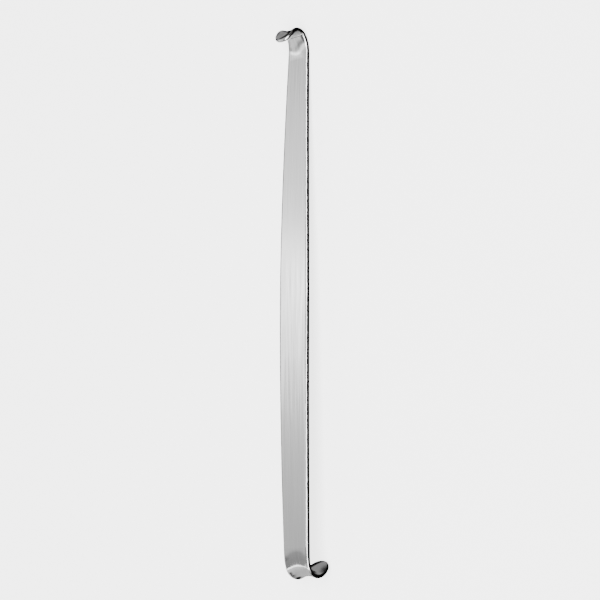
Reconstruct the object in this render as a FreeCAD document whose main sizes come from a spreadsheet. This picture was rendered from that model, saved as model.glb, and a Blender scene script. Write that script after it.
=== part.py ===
"""Slim double-ended hand-held retractor: one strip of steel with a hook at each end.

All lengths are millimetres and all angles degrees. +Y runs along the handle to the small
hook, +X is across the strip and +Z is up. The small hook turns up and the large one down,
so the strip lies on the tip of the large blade and on its back beside the small hook.
"""
import FreeCAD, Part
import math
import os
import Sketcher

os.makedirs("parts", exist_ok=True)
doc = FreeCAD.newDocument("retractor")

# Driving dimensions
SIZES = {
    # handle, between the starts of the two hooks
    "handle_chord": 135.2,
    "handle_bow": 1.3,
    "handle_thickness": 1.4,
    "middle_width": 10.45,
    # small hook: a gentle start, a tight bend and a short blade with a round tip
    "small_start_radius": 12.1,
    "small_start_turn": 29.8,
    "small_bend_radius": 2.25,
    "small_bend_turn": 117.0,
    "small_neck_width": 7.4,
    "small_tip_width": 6.35,
    "small_tip_thickness": 1.05,
    "small_saddle_radius": 7.5,
    "small_taper_power": 1.55,
    # large hook
    "large_start_radius": 12.0,
    "large_start_turn": 24.6,
    "large_bend_radius": 3.5,
    "large_bend_turn": 112.9,
    "large_neck_width": 9.1,
    "large_tip_width": 8.2,
    "large_tip_thickness": 0.95,
    "large_saddle_radius": 9.0,
    "large_taper_power": 1.9,
    # how far from the hook's start the blade is bent fully across
    "small_saddle_length": 5.9,
    "large_saddle_length": 7.0,
    # short flat stretch between a bend and its round tip
    "blade_flat": 0.05,
}

# Where the strip has its sections: shares of half the handle, and at most this far apart in a hook
HANDLE_SHARES = (0.25, 0.5, 0.75, 1.0)
SECTION_GAP = 0.7
# How finely the rest on the table is worked out
REST_STEPS = 400
REST_ROUNDS = 20


def make_sheet(sizes):
    """Write the driving dimensions to a spreadsheet, one aliased cell each."""
    sheet = doc.addObject("Spreadsheet::Sheet", "sizes")
    for row, (name, value) in enumerate(sizes.items(), start=1):
        sheet.set(f"A{row}", name)
        sheet.set(f"B{row}", str(value))
        sheet.setAlias(f"B{row}", name)
    doc.recompute()
    return sheet


sheet = make_sheet(SIZES)


def size(name):
    """Value of one driving dimension, read back from the sheet."""
    return float(sheet.get(name))


def handle_radius():
    """Radius of the gentle bow of the handle."""
    half = size("handle_chord") / 2
    bow = size("handle_bow")
    return (half * half + bow * bow) / (2 * bow)


def stages(hook):
    """Arcs of the centre line from the handle's middle to a tip, as (radius, turn).

    The handle's middle is bowed towards the front, so the handle turns away from the small
    hook's side and towards the large hook's.
    """
    radius = handle_radius()
    bow_turn = math.degrees(math.asin(size("handle_chord") / 2 / radius))
    return [
        (radius, -bow_turn if hook == "small" else bow_turn),
        (size(f"{hook}_start_radius"), size(f"{hook}_start_turn")),
        (size(f"{hook}_bend_radius"), size(f"{hook}_bend_turn")),
    ]


def stage_lengths(hook):
    """Lengths of the arcs, then of the short flat that ends where the round tip begins."""
    return [radius * math.radians(abs(turn)) for radius, turn in stages(hook)] + [size("blade_flat")]


def walk(hook, distance):
    """Point (y, z) and heading at a distance from the middle, for a hook that turns up."""
    y, z, heading = 0.0, 0.0, 0.0
    for radius, turn in stages(hook):
        length = radius * math.radians(abs(turn))
        part = min(distance / length, 1.0)
        side = math.copysign(radius, turn)
        centre = (y - side * math.sin(heading), z + side * math.cos(heading))
        heading += math.radians(turn) * part
        y = centre[0] + side * math.sin(heading)
        z = centre[1] - side * math.cos(heading)
        distance -= length
        if distance <= 0:
            return y, z, heading
    return y + distance * math.cos(heading), z + distance * math.sin(heading), heading


def smooth_step(value):
    """Ramp from 0 to 1 that starts and ends level."""
    value = min(max(value, 0.0), 1.0)
    return value * value * (3 - 2 * value)


def blends(hook, distance):
    """Shares of the driving dimensions in the width and thickness, and the saddle's share."""
    lengths = stage_lengths(hook)
    handle = lengths[0]
    hook_length = sum(lengths) - handle
    past = max(distance - handle, 0.0)
    narrowing = min(distance / handle, 1.0) ** size(f"{hook}_taper_power")
    tip_share = smooth_step(past / hook_length)
    width = {
        "middle_width": 1 - narrowing,
        f"{hook}_neck_width": narrowing - tip_share,
        f"{hook}_tip_width": tip_share,
    }
    thickness = {
        "handle_thickness": 1 - past / hook_length,
        f"{hook}_tip_thickness": past / hook_length,
    }
    saddle = smooth_step(past / size(f"{hook}_saddle_length"))
    return width, thickness, saddle


def value(blend):
    """Number that a blend of driving dimensions comes to."""
    return sum(share * size(name) for name, share in blend.items())


def edges(hook, distance):
    """Edge radius, how far the edges' centres stand out, and how far the saddle drops them."""
    width, thickness, saddle = blends(hook, distance)
    rim = value(thickness) / 2
    reach = value(width) / 2 - rim
    if saddle == 0:
        return rim, reach, 0.0
    bend = size(f"{hook}_saddle_radius") / saddle
    return rim, reach, bend - math.sqrt(bend * bend - reach * reach)


def formula(blend, factor=1.0):
    """Expression text for a blend of driving dimensions, times a factor."""
    return " + ".join(f"{share * factor:.9f} * sizes.{name}" for name, share in blend.items())


def vector(x, y):
    """Point of a sketch."""
    return FreeCAD.Vector(x, y, 0)


def arc(centre, start, end):
    """Arc of a circle that runs counter-clockwise from start to end."""
    first = math.atan2(start.y - centre.y, start.x - centre.x)
    last = math.atan2(end.y - centre.y, end.x - centre.x)
    if last < first:
        last += 2 * math.pi
    circle = Part.Circle(centre, FreeCAD.Vector(0, 0, 1), centre.distanceToPoint(start))
    return Part.ArcOfCircle(circle, first, last)


# Sketcher's names for the points of a curve, and for the origin and the vertical axis
START, END, CENTRE = range(1, 4)
ORIGIN, VERTICAL = range(-1, -3, -1)


def bind(sketch, name, constraint, text):
    """Add a dimension to a sketch and bind it to an expression."""
    index = sketch.addConstraint(constraint)
    sketch.renameConstraint(index, name)
    sketch.setExpression(f"Constraints.{name}", text)


def new_sketch(name, hook, distance):
    """Sketch square to the centre line: its x runs across, its y towards the front face."""
    y, z, heading = walk(hook, distance)
    if hook == "large":
        y, z = -y, -z
    sketch = body.newObject("Sketcher::SketchObject", name)
    sketch.AttachmentSupport = [(origin_plane, "")]
    sketch.MapMode = "FlatFace"
    turn = FreeCAD.Rotation(FreeCAD.Vector(1, 0, 0), 90 + math.degrees(heading))
    sketch.AttachmentOffset = FreeCAD.Placement(FreeCAD.Vector(0, y, z), turn)
    return sketch


def flat_section(name, hook, distance):
    """Section of the handle: a flat slot whose side edges are fully round."""
    width, thickness, _ = blends(hook, distance)
    rim, reach, _ = edges(hook, distance)
    sketch = new_sketch(name, hook, distance)
    sketch.addGeometry([
        Part.LineSegment(vector(reach, rim), vector(-reach, rim)),
        arc(vector(-reach, 0), vector(-reach, rim), vector(-reach, -rim)),
        Part.LineSegment(vector(-reach, -rim), vector(reach, -rim)),
        arc(vector(reach, 0), vector(reach, -rim), vector(reach, rim)),
    ])
    sketch.addConstraint([
        Sketcher.Constraint("Tangent", edge, END, (edge + 1) % 4, START) for edge in range(4)
    ] + [
        Sketcher.Constraint("Horizontal", 0),
        Sketcher.Constraint("Horizontal", 2),
        Sketcher.Constraint("Symmetric", 1, CENTRE, 3, CENTRE, ORIGIN, START),
    ])
    across = Sketcher.Constraint("DistanceX", 1, CENTRE, 3, CENTRE, 2 * reach)
    bind(sketch, "rim", Sketcher.Constraint("Radius", 3, rim), formula(thickness, 0.5))
    bind(sketch, "across", across, f"{formula(width)} - ({formula(thickness)})")
    return sketch


def saddle_section(name, hook, distance, half=False):
    """Section of a hook: a slot bent across, its rims away from the hook's inside.

    Half of it, closed along the vertical axis, is what the round tip is revolved from.
    """
    width, thickness, saddle = blends(hook, distance)
    rim, reach, drop = edges(hook, distance)
    bend = size(f"{hook}_saddle_radius") / saddle
    side = 1 if hook == "small" else -1
    centre = vector(0, -side * bend)
    height = -side * drop
    normal = (vector(reach, height) - centre) * (side / bend)

    def corner(across, up):
        return vector(across * (reach + up * rim * normal.x), height + up * rim * normal.y)

    def lengthways(up):
        right = corner(1, up)
        left = vector(0, centre.y + side * (bend + side * up * rim)) if half else corner(-1, up)
        return arc(centre, right, left) if side > 0 else arc(centre, left, right)

    # which ends of the two long arcs meet the right rim
    right_end, left_end = (START, END) if side > 0 else (END, START)
    sketch = new_sketch(name, hook, distance)
    sketch.addGeometry([
        lengthways(1),
        lengthways(-1),
        arc(vector(reach, height), corner(1, -1), corner(1, 1)),
    ])
    constraints = [
        Sketcher.Constraint("Tangent", 0, right_end, 2, END),
        Sketcher.Constraint("Tangent", 1, right_end, 2, START),
        Sketcher.Constraint("Coincident", 0, CENTRE, 1, CENTRE),
        Sketcher.Constraint("PointOnObject", 0, CENTRE, VERTICAL),
    ]
    if half:
        top, bottom = (vector(0, up * rim) for up in (1, -1))
        sketch.addGeometry(Part.LineSegment(top, bottom))
        constraints += [
            Sketcher.Constraint("Coincident", 0, left_end, 3, START),
            Sketcher.Constraint("Coincident", 1, left_end, 3, END),
            Sketcher.Constraint("PointOnObject", 3, START, VERTICAL),
            Sketcher.Constraint("PointOnObject", 3, END, VERTICAL),
        ]
        across = Sketcher.Constraint("DistanceX", ORIGIN, START, 2, CENTRE, reach)
        share = 0.5
    else:
        sketch.addGeometry(arc(vector(-reach, height), corner(-1, 1), corner(-1, -1)))
        constraints += [
            Sketcher.Constraint("Tangent", 0, left_end, 3, START),
            Sketcher.Constraint("Tangent", 1, left_end, 3, END),
            Sketcher.Constraint("Horizontal", 3, CENTRE, 2, CENTRE),
        ]
        across = Sketcher.Constraint("DistanceX", 3, CENTRE, 2, CENTRE, 2 * reach)
        share = 1.0
    sketch.addConstraint(constraints)
    bend_text = f"sizes.{hook}_saddle_radius / {saddle:.9f}"
    ends = (0, CENTRE, ORIGIN, START) if side > 0 else (ORIGIN, START, 0, CENTRE)
    bind(sketch, "rim", Sketcher.Constraint("Radius", 2, rim), formula(thickness, 0.5))
    bind(sketch, "across", across, f"{formula(width, share)} - ({formula(thickness, share)})")
    bind(sketch, "bend", Sketcher.Constraint("DistanceY", *ends, bend), bend_text)
    front = Sketcher.Constraint("Radius", 0, bend + side * rim)
    bind(sketch, "front", front, f"{bend_text} + {side} * ({formula(thickness, 0.5)})")
    return sketch


def make_body():
    """Body, and its origin's XY plane, which every section hangs on."""
    new_body = doc.addObject("PartDesign::Body", "Body")
    new_body.Label = "retractor"
    plane = next(feature for feature in new_body.Origin.OriginFeatures if feature.Role == "XY_Plane")
    return new_body, plane


def handle_sections():
    """Sections of the handle in order, from the large hook's start to the small hook's."""
    length = stage_lengths("small")[0]
    halves = {
        hook: [
            flat_section(f"{hook}_handle_{number}", hook, length * share)
            for number, share in enumerate(HANDLE_SHARES, start=1)
        ]
        for hook in ("small", "large")
    }
    return halves["large"][::-1] + [flat_section("middle", "small", 0.0)] + halves["small"]


def hook_sections(hook):
    """Sections of one hook in order, from after its start to its tip."""
    handle, *rest = stage_lengths(hook)
    steps = math.ceil(sum(rest) / SECTION_GAP)
    return [
        saddle_section(f"{hook}_{step:02d}", hook, handle + sum(rest) / steps * step)
        for step in range(1, steps + 1)
    ]


def loft(name, sections):
    """Smooth solid through sections."""
    doc.recompute()
    part = body.newObject("PartDesign::AdditiveLoft", name)
    part.Profile = sections[0]
    part.Sections = sections[1:]
    doc.recompute()


def round_tip(hook):
    """Close one end: half of its section turned half way round makes a round, domed tip."""
    sketch = saddle_section(f"{hook}_tip", hook, sum(stage_lengths(hook)), half=True)
    tip = body.newObject("PartDesign::Revolution", f"{hook}_round")
    tip.Profile = sketch
    tip.ReferenceAxis = (sketch, ["V_Axis"])
    tip.Angle = 180
    tip.Reversed = hook == "large"
    return tip


def lowest_of_tip():
    """Centre (y, z) and radius of the large tip's edge where the round tip reaches furthest."""
    end = sum(stage_lengths("large"))
    y, z, heading = walk("large", end)
    rim, reach, drop = edges("large", end)
    y += reach * math.cos(heading) + drop * math.sin(heading)
    z += reach * math.sin(heading) - drop * math.cos(heading)
    return -y, -z, rim


def back_of_neck():
    """Points (y, z) along the back of the strip's edges where the small hook starts to rise."""
    start, length = stage_lengths("small")[:2]
    points = []
    for step in range(REST_STEPS + 1):
        distance = start + length * step / REST_STEPS
        y, z, heading = walk("small", distance)
        rim, _, drop = edges("small", distance)
        points.append((y + (rim + drop) * math.sin(heading), z - (rim + drop) * math.cos(heading)))
    return points


def rest_tilt():
    """Angle, in radians, that lowers the small end until tip and neck touch one level."""
    tip_y, tip_z, rim = lowest_of_tip()
    back = back_of_neck()
    tilt = 0.0
    for _ in range(REST_ROUNDS):
        level = tip_z * math.cos(tilt) - tip_y * math.sin(tilt) - rim
        gap, y = min((z * math.cos(tilt) - y * math.sin(tilt) - level, y) for y, z in back)
        tilt += math.atan(gap / (y - tip_y))
    return tilt


def lay_down():
    """Turn the strip to its rest, then put the middle of its box over the origin."""
    tilt = rest_tilt()
    turn = FreeCAD.Rotation(FreeCAD.Vector(1, 0, 0), -math.degrees(tilt))
    body.Placement = FreeCAD.Placement(FreeCAD.Vector(), turn)
    box = body.Shape.optimalBoundingBox()
    tip_y, tip_z, rim = lowest_of_tip()
    bottom = tip_z * math.cos(tilt) - tip_y * math.sin(tilt) - rim
    body.Placement = FreeCAD.Placement(FreeCAD.Vector(0, -box.Center.y, -bottom), turn)
    return math.degrees(tilt)


def check_document():
    """Stop if an object failed to compute or the strip isn't one valid solid."""
    for item in doc.Objects:
        if "Invalid" in item.State or "Error" in item.State:
            raise RuntimeError(f"{item.Label} failed: {item.State}")
    shape = body.Shape
    if shape.isNull() or not shape.isValid() or len(shape.Solids) != 1:
        raise RuntimeError("the strip isn't one valid solid")


body, origin_plane = make_body()
handle = handle_sections()
loft("handle", handle)
for hook, start in (("small", handle[-1]), ("large", handle[0])):
    loft(f"{hook}_hook", [start] + hook_sections(hook))
    round_tip(hook)
    doc.recompute()
tilt = lay_down()
check_document()

body.Shape.exportStep("parts/retractor.step")
box = body.Shape.optimalBoundingBox()
print(f"tilt {tilt:.2f} degrees, volume {body.Shape.Volume:.1f} mm3")
print(f"middle of the centre line at y {body.Placement.Base.y:.3f}, z {body.Placement.Base.z:.3f}")
print(f"box {box.XLength:.2f} x {box.YLength:.2f} x {box.ZLength:.2f}, bottom {box.ZMin:.3f}")
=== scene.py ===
"""Looks of the double-ended retractor: satin brushed steel on a white table in soft light."""

import math

import bpy
from mathutils import Matrix, Vector

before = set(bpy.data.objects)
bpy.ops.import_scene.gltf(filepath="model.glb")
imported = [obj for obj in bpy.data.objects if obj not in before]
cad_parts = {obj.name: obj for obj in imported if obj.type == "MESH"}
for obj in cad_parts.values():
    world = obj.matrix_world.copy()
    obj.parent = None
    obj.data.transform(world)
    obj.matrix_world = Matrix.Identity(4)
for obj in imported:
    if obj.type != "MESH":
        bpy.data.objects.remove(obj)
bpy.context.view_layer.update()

# Photograph's camera, fitted to the silhouette: angles about the handle's own axes
DISTANCE = 0.9
ACROSS = math.radians(42.4)
ALONG = math.radians(-8.65)
ROLL = math.radians(-0.25)
PIXELS_PER_METRE = 3651
IMAGE = 600
ORIGIN_PIXEL = (294.62, 300.9)
SENSOR = 36
# Middle of the handle's centre line and how far the handle lies tilted
HANDLE_MIDDLE = Vector((0, 0.000049, 0.006872))
HANDLE_TILT = math.radians(-3.97)

# Each part of a surface or card below says how a share changes: (from, to, share before, share after)

# Steel: tone, and the range of its roughness
STEEL_TONE = 0.615
SMOOTHEST, ROUGHEST = 0.10, 0.13
SPREAD_ACROSS = 0.3
# Brushing: pattern's place and its cells per metre, long along y
STREAK_OFFSET = (0, 0.45, 0.45)
STREAK_SCALE = (2100, 40, 400)
STREAK_MIDDLE_Y = -0.010
STREAKS_FROM_MIDDLE = (0.010, 0.032, 1.1, 0.14)
STREAKS_AT_SMALL_HOOK = (0.052, 0.06, 0.0, 0.25)
RELIEF_SHARE, RELIEF_DEPTH = 0.10, 0.00002

# Floor
FLOOR_HALF = 3.0
FLOOR_TONE = 0.92
FLOOR_ROUGHNESS = 0.9
FLOOR_GLOW = 3.2

# Key light, which makes the white line along the edge
KEY_PLACE = (0.57, -0.35, 1.21)
KEY_TARGET = (0, -0.35, 0)
KEY_WIDTH, KEY_HEIGHT = 2.30, 0.50
KEY_RADIANCE = 13

# Brightest tone on a card
BRIGHTEST = 5.0

# High card, which the handle and the small hook mirror
HIGH_CARD_HEIGHT = 0.90
HIGH_CARD_CORNERS = ((-2.4, -3.0), (0.15, 0.80))
# x of the line that the handle's face mirrors, and the slant of the tones there
MIRROR_X = -0.84
MIRROR_SLANT = 0.24
# Tones along that line: (y, radiance)
HANDLE_TONES = (
    (-0.12, 1.3), (-0.03, 0.87), (0.03, 0.87), (0.068, 1.04), (0.106, 1.14), (0.144, 1.47), (0.182, 2.45),
    (0.22, 3.25), (0.257, 4.5), (0.295, 4.4), (0.323, 2.6), (0.333, 2.25), (0.371, 1.95), (0.413, 1.75),
    (0.446, 1.6), (0.47, 1.4), (0.50, 1.2),
)
# Tones to its right, which only the small hook mirrors: (y, radiance)
SIDE_TONES = (
    (-0.45, 1.4), (-0.30, 1.3), (-0.16, 0.8), (-0.05, 0.5), (0.06, 0.6), (0.12, 1.3), (0.18, 2.3),
    (0.27, 2.4), (0.32, 1.5), (0.45, 1.2),
)
SIDE_ACROSS = (-0.72, -0.60, 0.0, 1.0)
# Patch to its left, for the small hook
LEFT_TONE = 1.5
LEFT_ACROSS = (-1.02, -0.93, 0.8, 0.0)
LEFT_ALONG = (0.1, 0.2, 1.0, 0.0)
# Far left, for the handle's left edge
RIM_TONE = 0.5
RIM_ACROSS = (-1.45, -1.25, 0.7, 0.0)
RIM_ALONG = (0.0, 0.2, 0.0, 1.0)
# Dark border on the right, for the line between the face and the white edge
HIGH_BORDER_TONE = 0.1
HIGH_BORDER_SLANT = -0.13
HIGH_BORDER_ACROSS = (-0.14, -0.09, 0.0, 0.95)
HIGH_BORDER_ALONG = (0.15, 0.35, 1.0, 0.2)

# Low card, which the large hook mirrors
LOW_CARD_HEIGHT = 0.12
LOW_CARD_CORNERS = ((-2.0, -2.0), (0.03, -0.06))
# Dark stretch for the hook's start: (y, radiance)
START_TONES = ((-0.11, 0.43), (-0.084, 0.50), (-0.071, 0.84), (-0.06, 0.86))
FAR_TONE = 1.6
FAR_ACROSS = (-0.45, -0.28, 1.0, 0.0)
LOW_BORDER_TONE = 0.1
LOW_BORDER_ACROSS = (-0.085, -0.05, 0.0, 0.95)
LOW_BORDER_ALONG = (-0.10, -0.085, 0.15, 1.0)
# Beyond the slanting line that the hook shows as an arch: (distance, radiance)
ARCH_SLANT = -0.214
ARCH_OFFSET = 0.132
LENS_TONES = ((-0.50, 0.9), (-0.15, 1.0), (-0.06, 1.2), (-0.02, 1.5), (-0.012, 5.0), (0.0, 5.0))
LENS_PART = (-0.002, 0.002, 1.0, 0.0)
# Dark right side, for the hook's outline
OUTLINE_TONE = 0.05
OUTLINE_Y = -0.07
OUTLINE_SLANT = -0.2
OUTLINE_ACROSS = (-0.01, 0.01, 0.0, 0.95)
OUTLINE_ALONG = (-0.28, -0.22, 1.0, 0.0)

# Room, by direction: dim on the far side, dark below and behind
FAR_SIDE = (-0.45, -0.12, 1.0, 0.01)
TONE_BY_HEIGHT = (-0.95, -0.55, 0.3, 0.9)
TOWARDS_SMALL_HOOK = (-0.15, 0.30, 0.0, 1.0)
SMALL_HOOK_SIDE_TONE = 0.42
# Dark spots: (direction, inner and outer size)
SPOT_TONE = 0.01
DARK_SPOTS = (
    ((-0.21, -0.66, -0.72), 0.29, 0.43), ((-0.73, 0.49, -0.47), 0.22, 0.34),
    ((-0.66, 0.15, -0.73), 0.30, 0.45), ((-0.96, 0.25, -0.09), 0.28, 0.44),
)
# Soft light from the near side, which the photograph's view doesn't mirror
NEAR_UPWARD = (0.08, 0.20, 0.0, 1.0)
NEAR_OUTWARD = (0.1, 0.4, 0.0, 1.0)
NEAR_TONE_BY_Y = (-0.60, -0.35, 1.3, 0.14)
BACKDROP_RADIANCE = 5.0


def node(tree, kind, **values):
    """Add a node; values name its properties, or its input sockets by their labels."""
    new = tree.nodes.new(kind)
    for name, value in values.items():
        label = name.replace("_", " ")
        if hasattr(new, name):
            setattr(new, name, value)
        else:
            new.inputs[label].default_value = value
    return new


def emptied(owner):
    """Switch on the nodes of a material or world, and return their tree without any node."""
    owner.use_nodes = True
    owner.node_tree.nodes.clear()
    return owner.node_tree


def coordinates(tree, kind):
    """Texture coordinate of a kind, whole and split into x, y and z."""
    place = node(tree, "ShaderNodeTexCoord").outputs[kind]
    parts = node(tree, "ShaderNodeSeparateXYZ")
    tree.links.new(place, parts.inputs["Vector"])
    return place, parts.outputs["X"], parts.outputs["Y"], parts.outputs["Z"]


def level(tree, value, low, high, start, end):
    """Smooth change from start to end while value goes from low to high."""
    change = node(tree, "ShaderNodeMapRange", interpolation_type="SMOOTHSTEP")
    for label, number in (("From Min", low), ("From Max", high), ("To Min", start), ("To Max", end)):
        change.inputs[label].default_value = number
    tree.links.new(value, change.inputs["Value"])
    return change.outputs["Result"]


def maths(tree, operation, *values):
    """Result of a Math node; each value is a socket or a number."""
    new = node(tree, "ShaderNodeMath", operation=operation)
    for index, value in enumerate(values):
        if isinstance(value, (int, float)):
            new.inputs[index].default_value = value
        else:
            tree.links.new(value, new.inputs[index])
    return new.outputs["Value"]


def tones(tree, value, stops):
    """Radiance over a value, straight between stops, as a share of BRIGHTEST."""
    low, high = stops[0][0], stops[-1][0]
    along = node(tree, "ShaderNodeMapRange")
    along.inputs["From Min"].default_value = low
    along.inputs["From Max"].default_value = high
    tree.links.new(value, along.inputs["Value"])
    ramp = node(tree, "ShaderNodeValToRGB")
    elements = ramp.color_ramp.elements
    while len(elements) < len(stops):
        elements.new(0.5)
    for element, (place, tone) in zip(elements, stops):
        element.position = (place - low) / (high - low)
        element.color = (tone / BRIGHTEST,) * 3 + (1,)
    tree.links.new(along.outputs["Result"], ramp.inputs["Fac"])
    return ramp.outputs["Color"]


def blend(tree, share, first, second):
    """First value where share is 0, second where it is 1; second may be a number."""
    mix = node(tree, "ShaderNodeMix")
    tree.links.new(share, mix.inputs["Factor"])
    tree.links.new(first, mix.inputs["A"])
    if isinstance(second, (int, float)):
        mix.inputs["B"].default_value = second
    else:
        tree.links.new(second, mix.inputs["B"])
    return mix.outputs["Result"]


def near(tree, place, centre, inner, outer):
    """Share that is 1 within inner of a centre and 0 beyond outer."""
    gap = node(tree, "ShaderNodeVectorMath", operation="DISTANCE")
    tree.links.new(place, gap.inputs[0])
    gap.inputs[1].default_value = centre
    return level(tree, gap.outputs["Value"], inner, outer, 1.0, 0.0)


def make_steel():
    """Satin steel, brushed along the handle."""
    material = bpy.data.materials.new("steel")
    tree = emptied(material)
    out = node(tree, "ShaderNodeOutputMaterial")
    shader = node(tree, "ShaderNodeBsdfPrincipled", Metallic=1.0, Anisotropic=SPREAD_ACROSS)
    tree.links.new(shader.outputs["BSDF"], out.inputs["Surface"])
    place, _, y, _ = coordinates(tree, "Object")
    stretch = node(tree, "ShaderNodeMapping", Location=STREAK_OFFSET, Scale=STREAK_SCALE)
    tree.links.new(place, stretch.inputs["Vector"])
    streaks = node(tree, "ShaderNodeTexNoise", Scale=1.0, Detail=3.0, Roughness=0.6)
    tree.links.new(stretch.outputs["Vector"], streaks.inputs["Vector"])
    pattern = streaks.outputs["Fac"]
    # brushing shows most below the middle and beside the small hook
    from_middle = maths(tree, "ABSOLUTE", maths(tree, "SUBTRACT", y, STREAK_MIDDLE_Y))
    depth = maths(
        tree, "ADD", level(tree, from_middle, *STREAKS_FROM_MIDDLE), level(tree, y, *STREAKS_AT_SMALL_HOOK),
    )
    streak = maths(tree, "MULTIPLY", maths(tree, "SUBTRACT", pattern, 0.5), depth)
    tree.links.new(maths(tree, "ADD", streak, STEEL_TONE), shader.inputs["Base Color"])
    rough = node(tree, "ShaderNodeMapRange", To_Min=SMOOTHEST, To_Max=ROUGHEST)
    tree.links.new(pattern, rough.inputs["Value"])
    tree.links.new(rough.outputs["Result"], shader.inputs["Roughness"])
    bump = node(tree, "ShaderNodeBump", Strength=RELIEF_SHARE, Distance=RELIEF_DEPTH)
    tree.links.new(pattern, bump.inputs["Height"])
    tree.links.new(bump.outputs["Normal"], shader.inputs["Normal"])
    # brushed along the handle, so reflections spread across it
    across = node(tree, "ShaderNodeCombineXYZ", X=1.0)
    tree.links.new(across.outputs["Vector"], shader.inputs["Tangent"])
    return material


def make_sheet(name, corners, height, turned_down):
    """Level rectangle between two corners, facing down if turned_down, with a new material of the same
    name.
    """
    (x0, y0), (x1, y1) = corners
    mesh = bpy.data.meshes.new(name)
    face = (0, 3, 2, 1) if turned_down else (0, 1, 2, 3)
    mesh.from_pydata([(x0, y0, height), (x1, y0, height), (x1, y1, height), (x0, y1, height)], [], [face])
    sheet = bpy.data.objects.new(name, mesh)
    bpy.context.scene.collection.objects.link(sheet)
    material = bpy.data.materials.new(name)
    mesh.materials.append(material)
    return sheet, material


def make_floor():
    """White table, kept out of the steel's reflections as the photograph's cut-out is."""
    corners = ((-FLOOR_HALF, -FLOOR_HALF), (FLOOR_HALF, FLOOR_HALF))
    floor, material = make_sheet("floor", corners, 0, False)
    material.use_nodes = True
    shader = material.node_tree.nodes["Principled BSDF"]
    shader.inputs["Base Color"].default_value = (FLOOR_TONE, FLOOR_TONE, FLOOR_TONE, 1)
    shader.inputs["Roughness"].default_value = FLOOR_ROUGHNESS
    shader.inputs["Specular IOR Level"].default_value = 0.0
    shader.inputs["Emission Color"].default_value = (1, 1, 1, 1)
    shader.inputs["Emission Strength"].default_value = FLOOR_GLOW
    floor.visible_glossy = False


def make_key():
    """Evenly bright rectangular light that the camera doesn't see."""
    light = bpy.data.lights.new("key", "AREA")
    light.shape = "RECTANGLE"
    light.size = KEY_WIDTH
    light.size_y = KEY_HEIGHT
    light.energy = KEY_RADIANCE * math.pi * KEY_WIDTH * KEY_HEIGHT
    lamp = bpy.data.objects.new("key", light)
    lamp.location = KEY_PLACE
    lamp.rotation_mode = "QUATERNION"
    lamp.rotation_quaternion = (Vector(KEY_PLACE) - Vector(KEY_TARGET)).to_track_quat("Z", "Y")
    lamp.visible_camera = False
    bpy.context.scene.collection.objects.link(lamp)


def make_card(name, corners, height, shade):
    """Level card that only reflections show; shade gives its tone at a place, x and y."""
    card, material = make_sheet(name, corners, height, True)
    tree = emptied(material)
    out = node(tree, "ShaderNodeOutputMaterial")
    glow = node(tree, "ShaderNodeEmission", Strength=BRIGHTEST)
    tree.links.new(glow.outputs["Emission"], out.inputs["Surface"])
    _, x, y, _ = coordinates(tree, "Object")
    tree.links.new(shade(tree, x, y), glow.inputs["Color"])
    card.visible_camera = False
    card.visible_shadow = False
    card.visible_diffuse = False


def high_shade(tree, x, y):
    """Tones for the handle, and beside them those that only the small hook or the rims show."""
    aslant = maths(tree, "MULTIPLY_ADD", maths(tree, "SUBTRACT", x, MIRROR_X), MIRROR_SLANT, y)
    tone = tones(tree, aslant, HANDLE_TONES)
    tone = blend(tree, level(tree, x, *SIDE_ACROSS), tone, tones(tree, aslant, SIDE_TONES))
    left = maths(tree, "MULTIPLY", level(tree, x, *LEFT_ACROSS), level(tree, aslant, *LEFT_ALONG))
    tone = blend(tree, left, tone, LEFT_TONE / BRIGHTEST)
    rim = maths(tree, "MULTIPLY", level(tree, x, *RIM_ACROSS), level(tree, y, *RIM_ALONG))
    tone = blend(tree, rim, tone, RIM_TONE / BRIGHTEST)
    past = maths(tree, "MULTIPLY_ADD", y, HIGH_BORDER_SLANT, x)
    border = maths(
        tree, "MULTIPLY", level(tree, past, *HIGH_BORDER_ACROSS), level(tree, y, *HIGH_BORDER_ALONG),
    )
    return blend(tree, border, tone, HIGH_BORDER_TONE / BRIGHTEST)


def low_shade(tree, x, y):
    """Dark tones for the large hook's start, then a bright line and lighter tones beyond it."""
    tone = tones(tree, y, START_TONES)
    tone = blend(tree, level(tree, x, *FAR_ACROSS), tone, FAR_TONE / BRIGHTEST)
    border = maths(tree, "MULTIPLY", level(tree, x, *LOW_BORDER_ACROSS), level(tree, y, *LOW_BORDER_ALONG))
    tone = blend(tree, border, tone, LOW_BORDER_TONE / BRIGHTEST)
    past = maths(tree, "MULTIPLY_ADD", x, ARCH_SLANT, maths(tree, "ADD", y, ARCH_OFFSET))
    tone = blend(tree, level(tree, past, *LENS_PART), tone, tones(tree, past, LENS_TONES))
    side = maths(tree, "MULTIPLY_ADD", maths(tree, "SUBTRACT", y, OUTLINE_Y), OUTLINE_SLANT, x)
    outline = maths(tree, "MULTIPLY", level(tree, side, *OUTLINE_ACROSS), level(tree, y, *OUTLINE_ALONG))
    return blend(tree, outline, tone, OUTLINE_TONE / BRIGHTEST)


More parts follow.
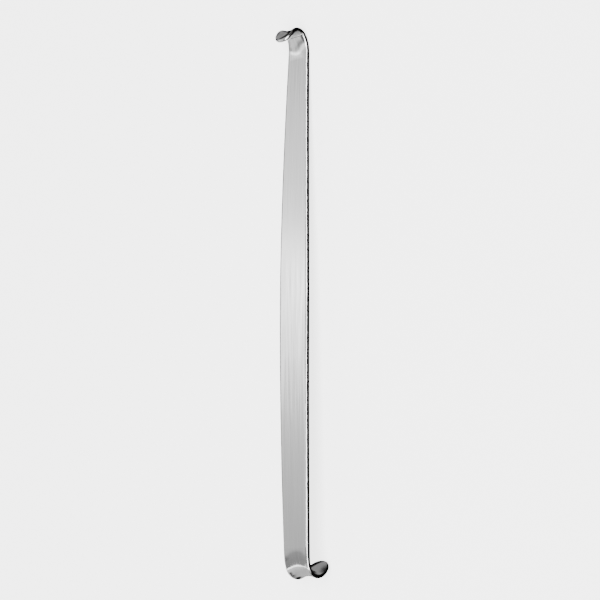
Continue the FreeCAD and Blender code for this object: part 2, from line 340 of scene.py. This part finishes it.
def make_world():
    """Dim room that lights the steel, and a white backdrop for the camera."""
    world = bpy.data.worlds.new("room")
    tree = emptied(world)
    out = node(tree, "ShaderNodeOutputWorld")
    room = node(tree, "ShaderNodeBackground")
    white = node(tree, "ShaderNodeBackground", Color=(1, 1, 1, 1), Strength=BACKDROP_RADIANCE)
    place, x, y, z = coordinates(tree, "Generated")
    height = level(tree, z, *TONE_BY_HEIGHT)
    light = blend(tree, level(tree, y, *TOWARDS_SMALL_HOOK), height, SMALL_HOOK_SIDE_TONE)
    for centre, inner, outer in DARK_SPOTS:
        light = blend(tree, near(tree, place, centre, inner, outer), light, SPOT_TONE)
    light = maths(tree, "MULTIPLY", level(tree, x, *FAR_SIDE), light)
    near_side = maths(tree, "MULTIPLY", level(tree, z, *NEAR_UPWARD), level(tree, x, *NEAR_OUTWARD))
    near_light = maths(tree, "MULTIPLY", near_side, level(tree, y, *NEAR_TONE_BY_Y))
    tree.links.new(maths(tree, "ADD", light, near_light), room.inputs["Color"])
    rays = node(tree, "ShaderNodeLightPath")
    mix = node(tree, "ShaderNodeMixShader")
    tree.links.new(rays.outputs["Is Camera Ray"], mix.inputs["Fac"])
    tree.links.new(room.outputs["Background"], mix.inputs[1])
    tree.links.new(white.outputs["Background"], mix.inputs[2])
    tree.links.new(mix.outputs["Shader"], out.inputs["Surface"])
    bpy.context.scene.world = world


def make_camera():
    """Camera of the photograph, carried along with the handle's tilt."""
    tilt = Matrix.Rotation(HANDLE_TILT, 3, "X")
    away = tilt @ Vector((
        math.sin(ACROSS) * math.cos(ALONG), math.sin(ALONG), math.cos(ACROSS) * math.cos(ALONG),
    ))
    right = tilt @ Vector((math.cos(ACROSS), 0, -math.sin(ACROSS)))
    up = away.cross(right)
    turned_right = right * math.cos(ROLL) - up * math.sin(ROLL)
    turned_up = right * math.sin(ROLL) + up * math.cos(ROLL)
    data = bpy.data.cameras.new("camera")
    data.sensor_width = SENSOR
    data.lens = PIXELS_PER_METRE * DISTANCE * SENSOR / IMAGE
    data.shift_x = (IMAGE / 2 - ORIGIN_PIXEL[0]) / IMAGE
    data.shift_y = (ORIGIN_PIXEL[1] - IMAGE / 2) / IMAGE
    camera = bpy.data.objects.new("camera", data)
    turn = Matrix((turned_right, turned_up, away)).transposed().to_4x4()
    camera.matrix_world = Matrix.Translation(HANDLE_MIDDLE + away * DISTANCE) @ turn
    bpy.context.scene.collection.objects.link(camera)
    bpy.context.scene.camera = camera


steel = make_steel()
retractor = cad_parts["retractor"]
for slot in retractor.material_slots:
    slot.material = steel
make_floor()
make_key()
make_card("high_card", HIGH_CARD_CORNERS, HIGH_CARD_HEIGHT, high_shade)
make_card("low_card", LOW_CARD_CORNERS, LOW_CARD_HEIGHT, low_shade)
make_world()
make_camera()
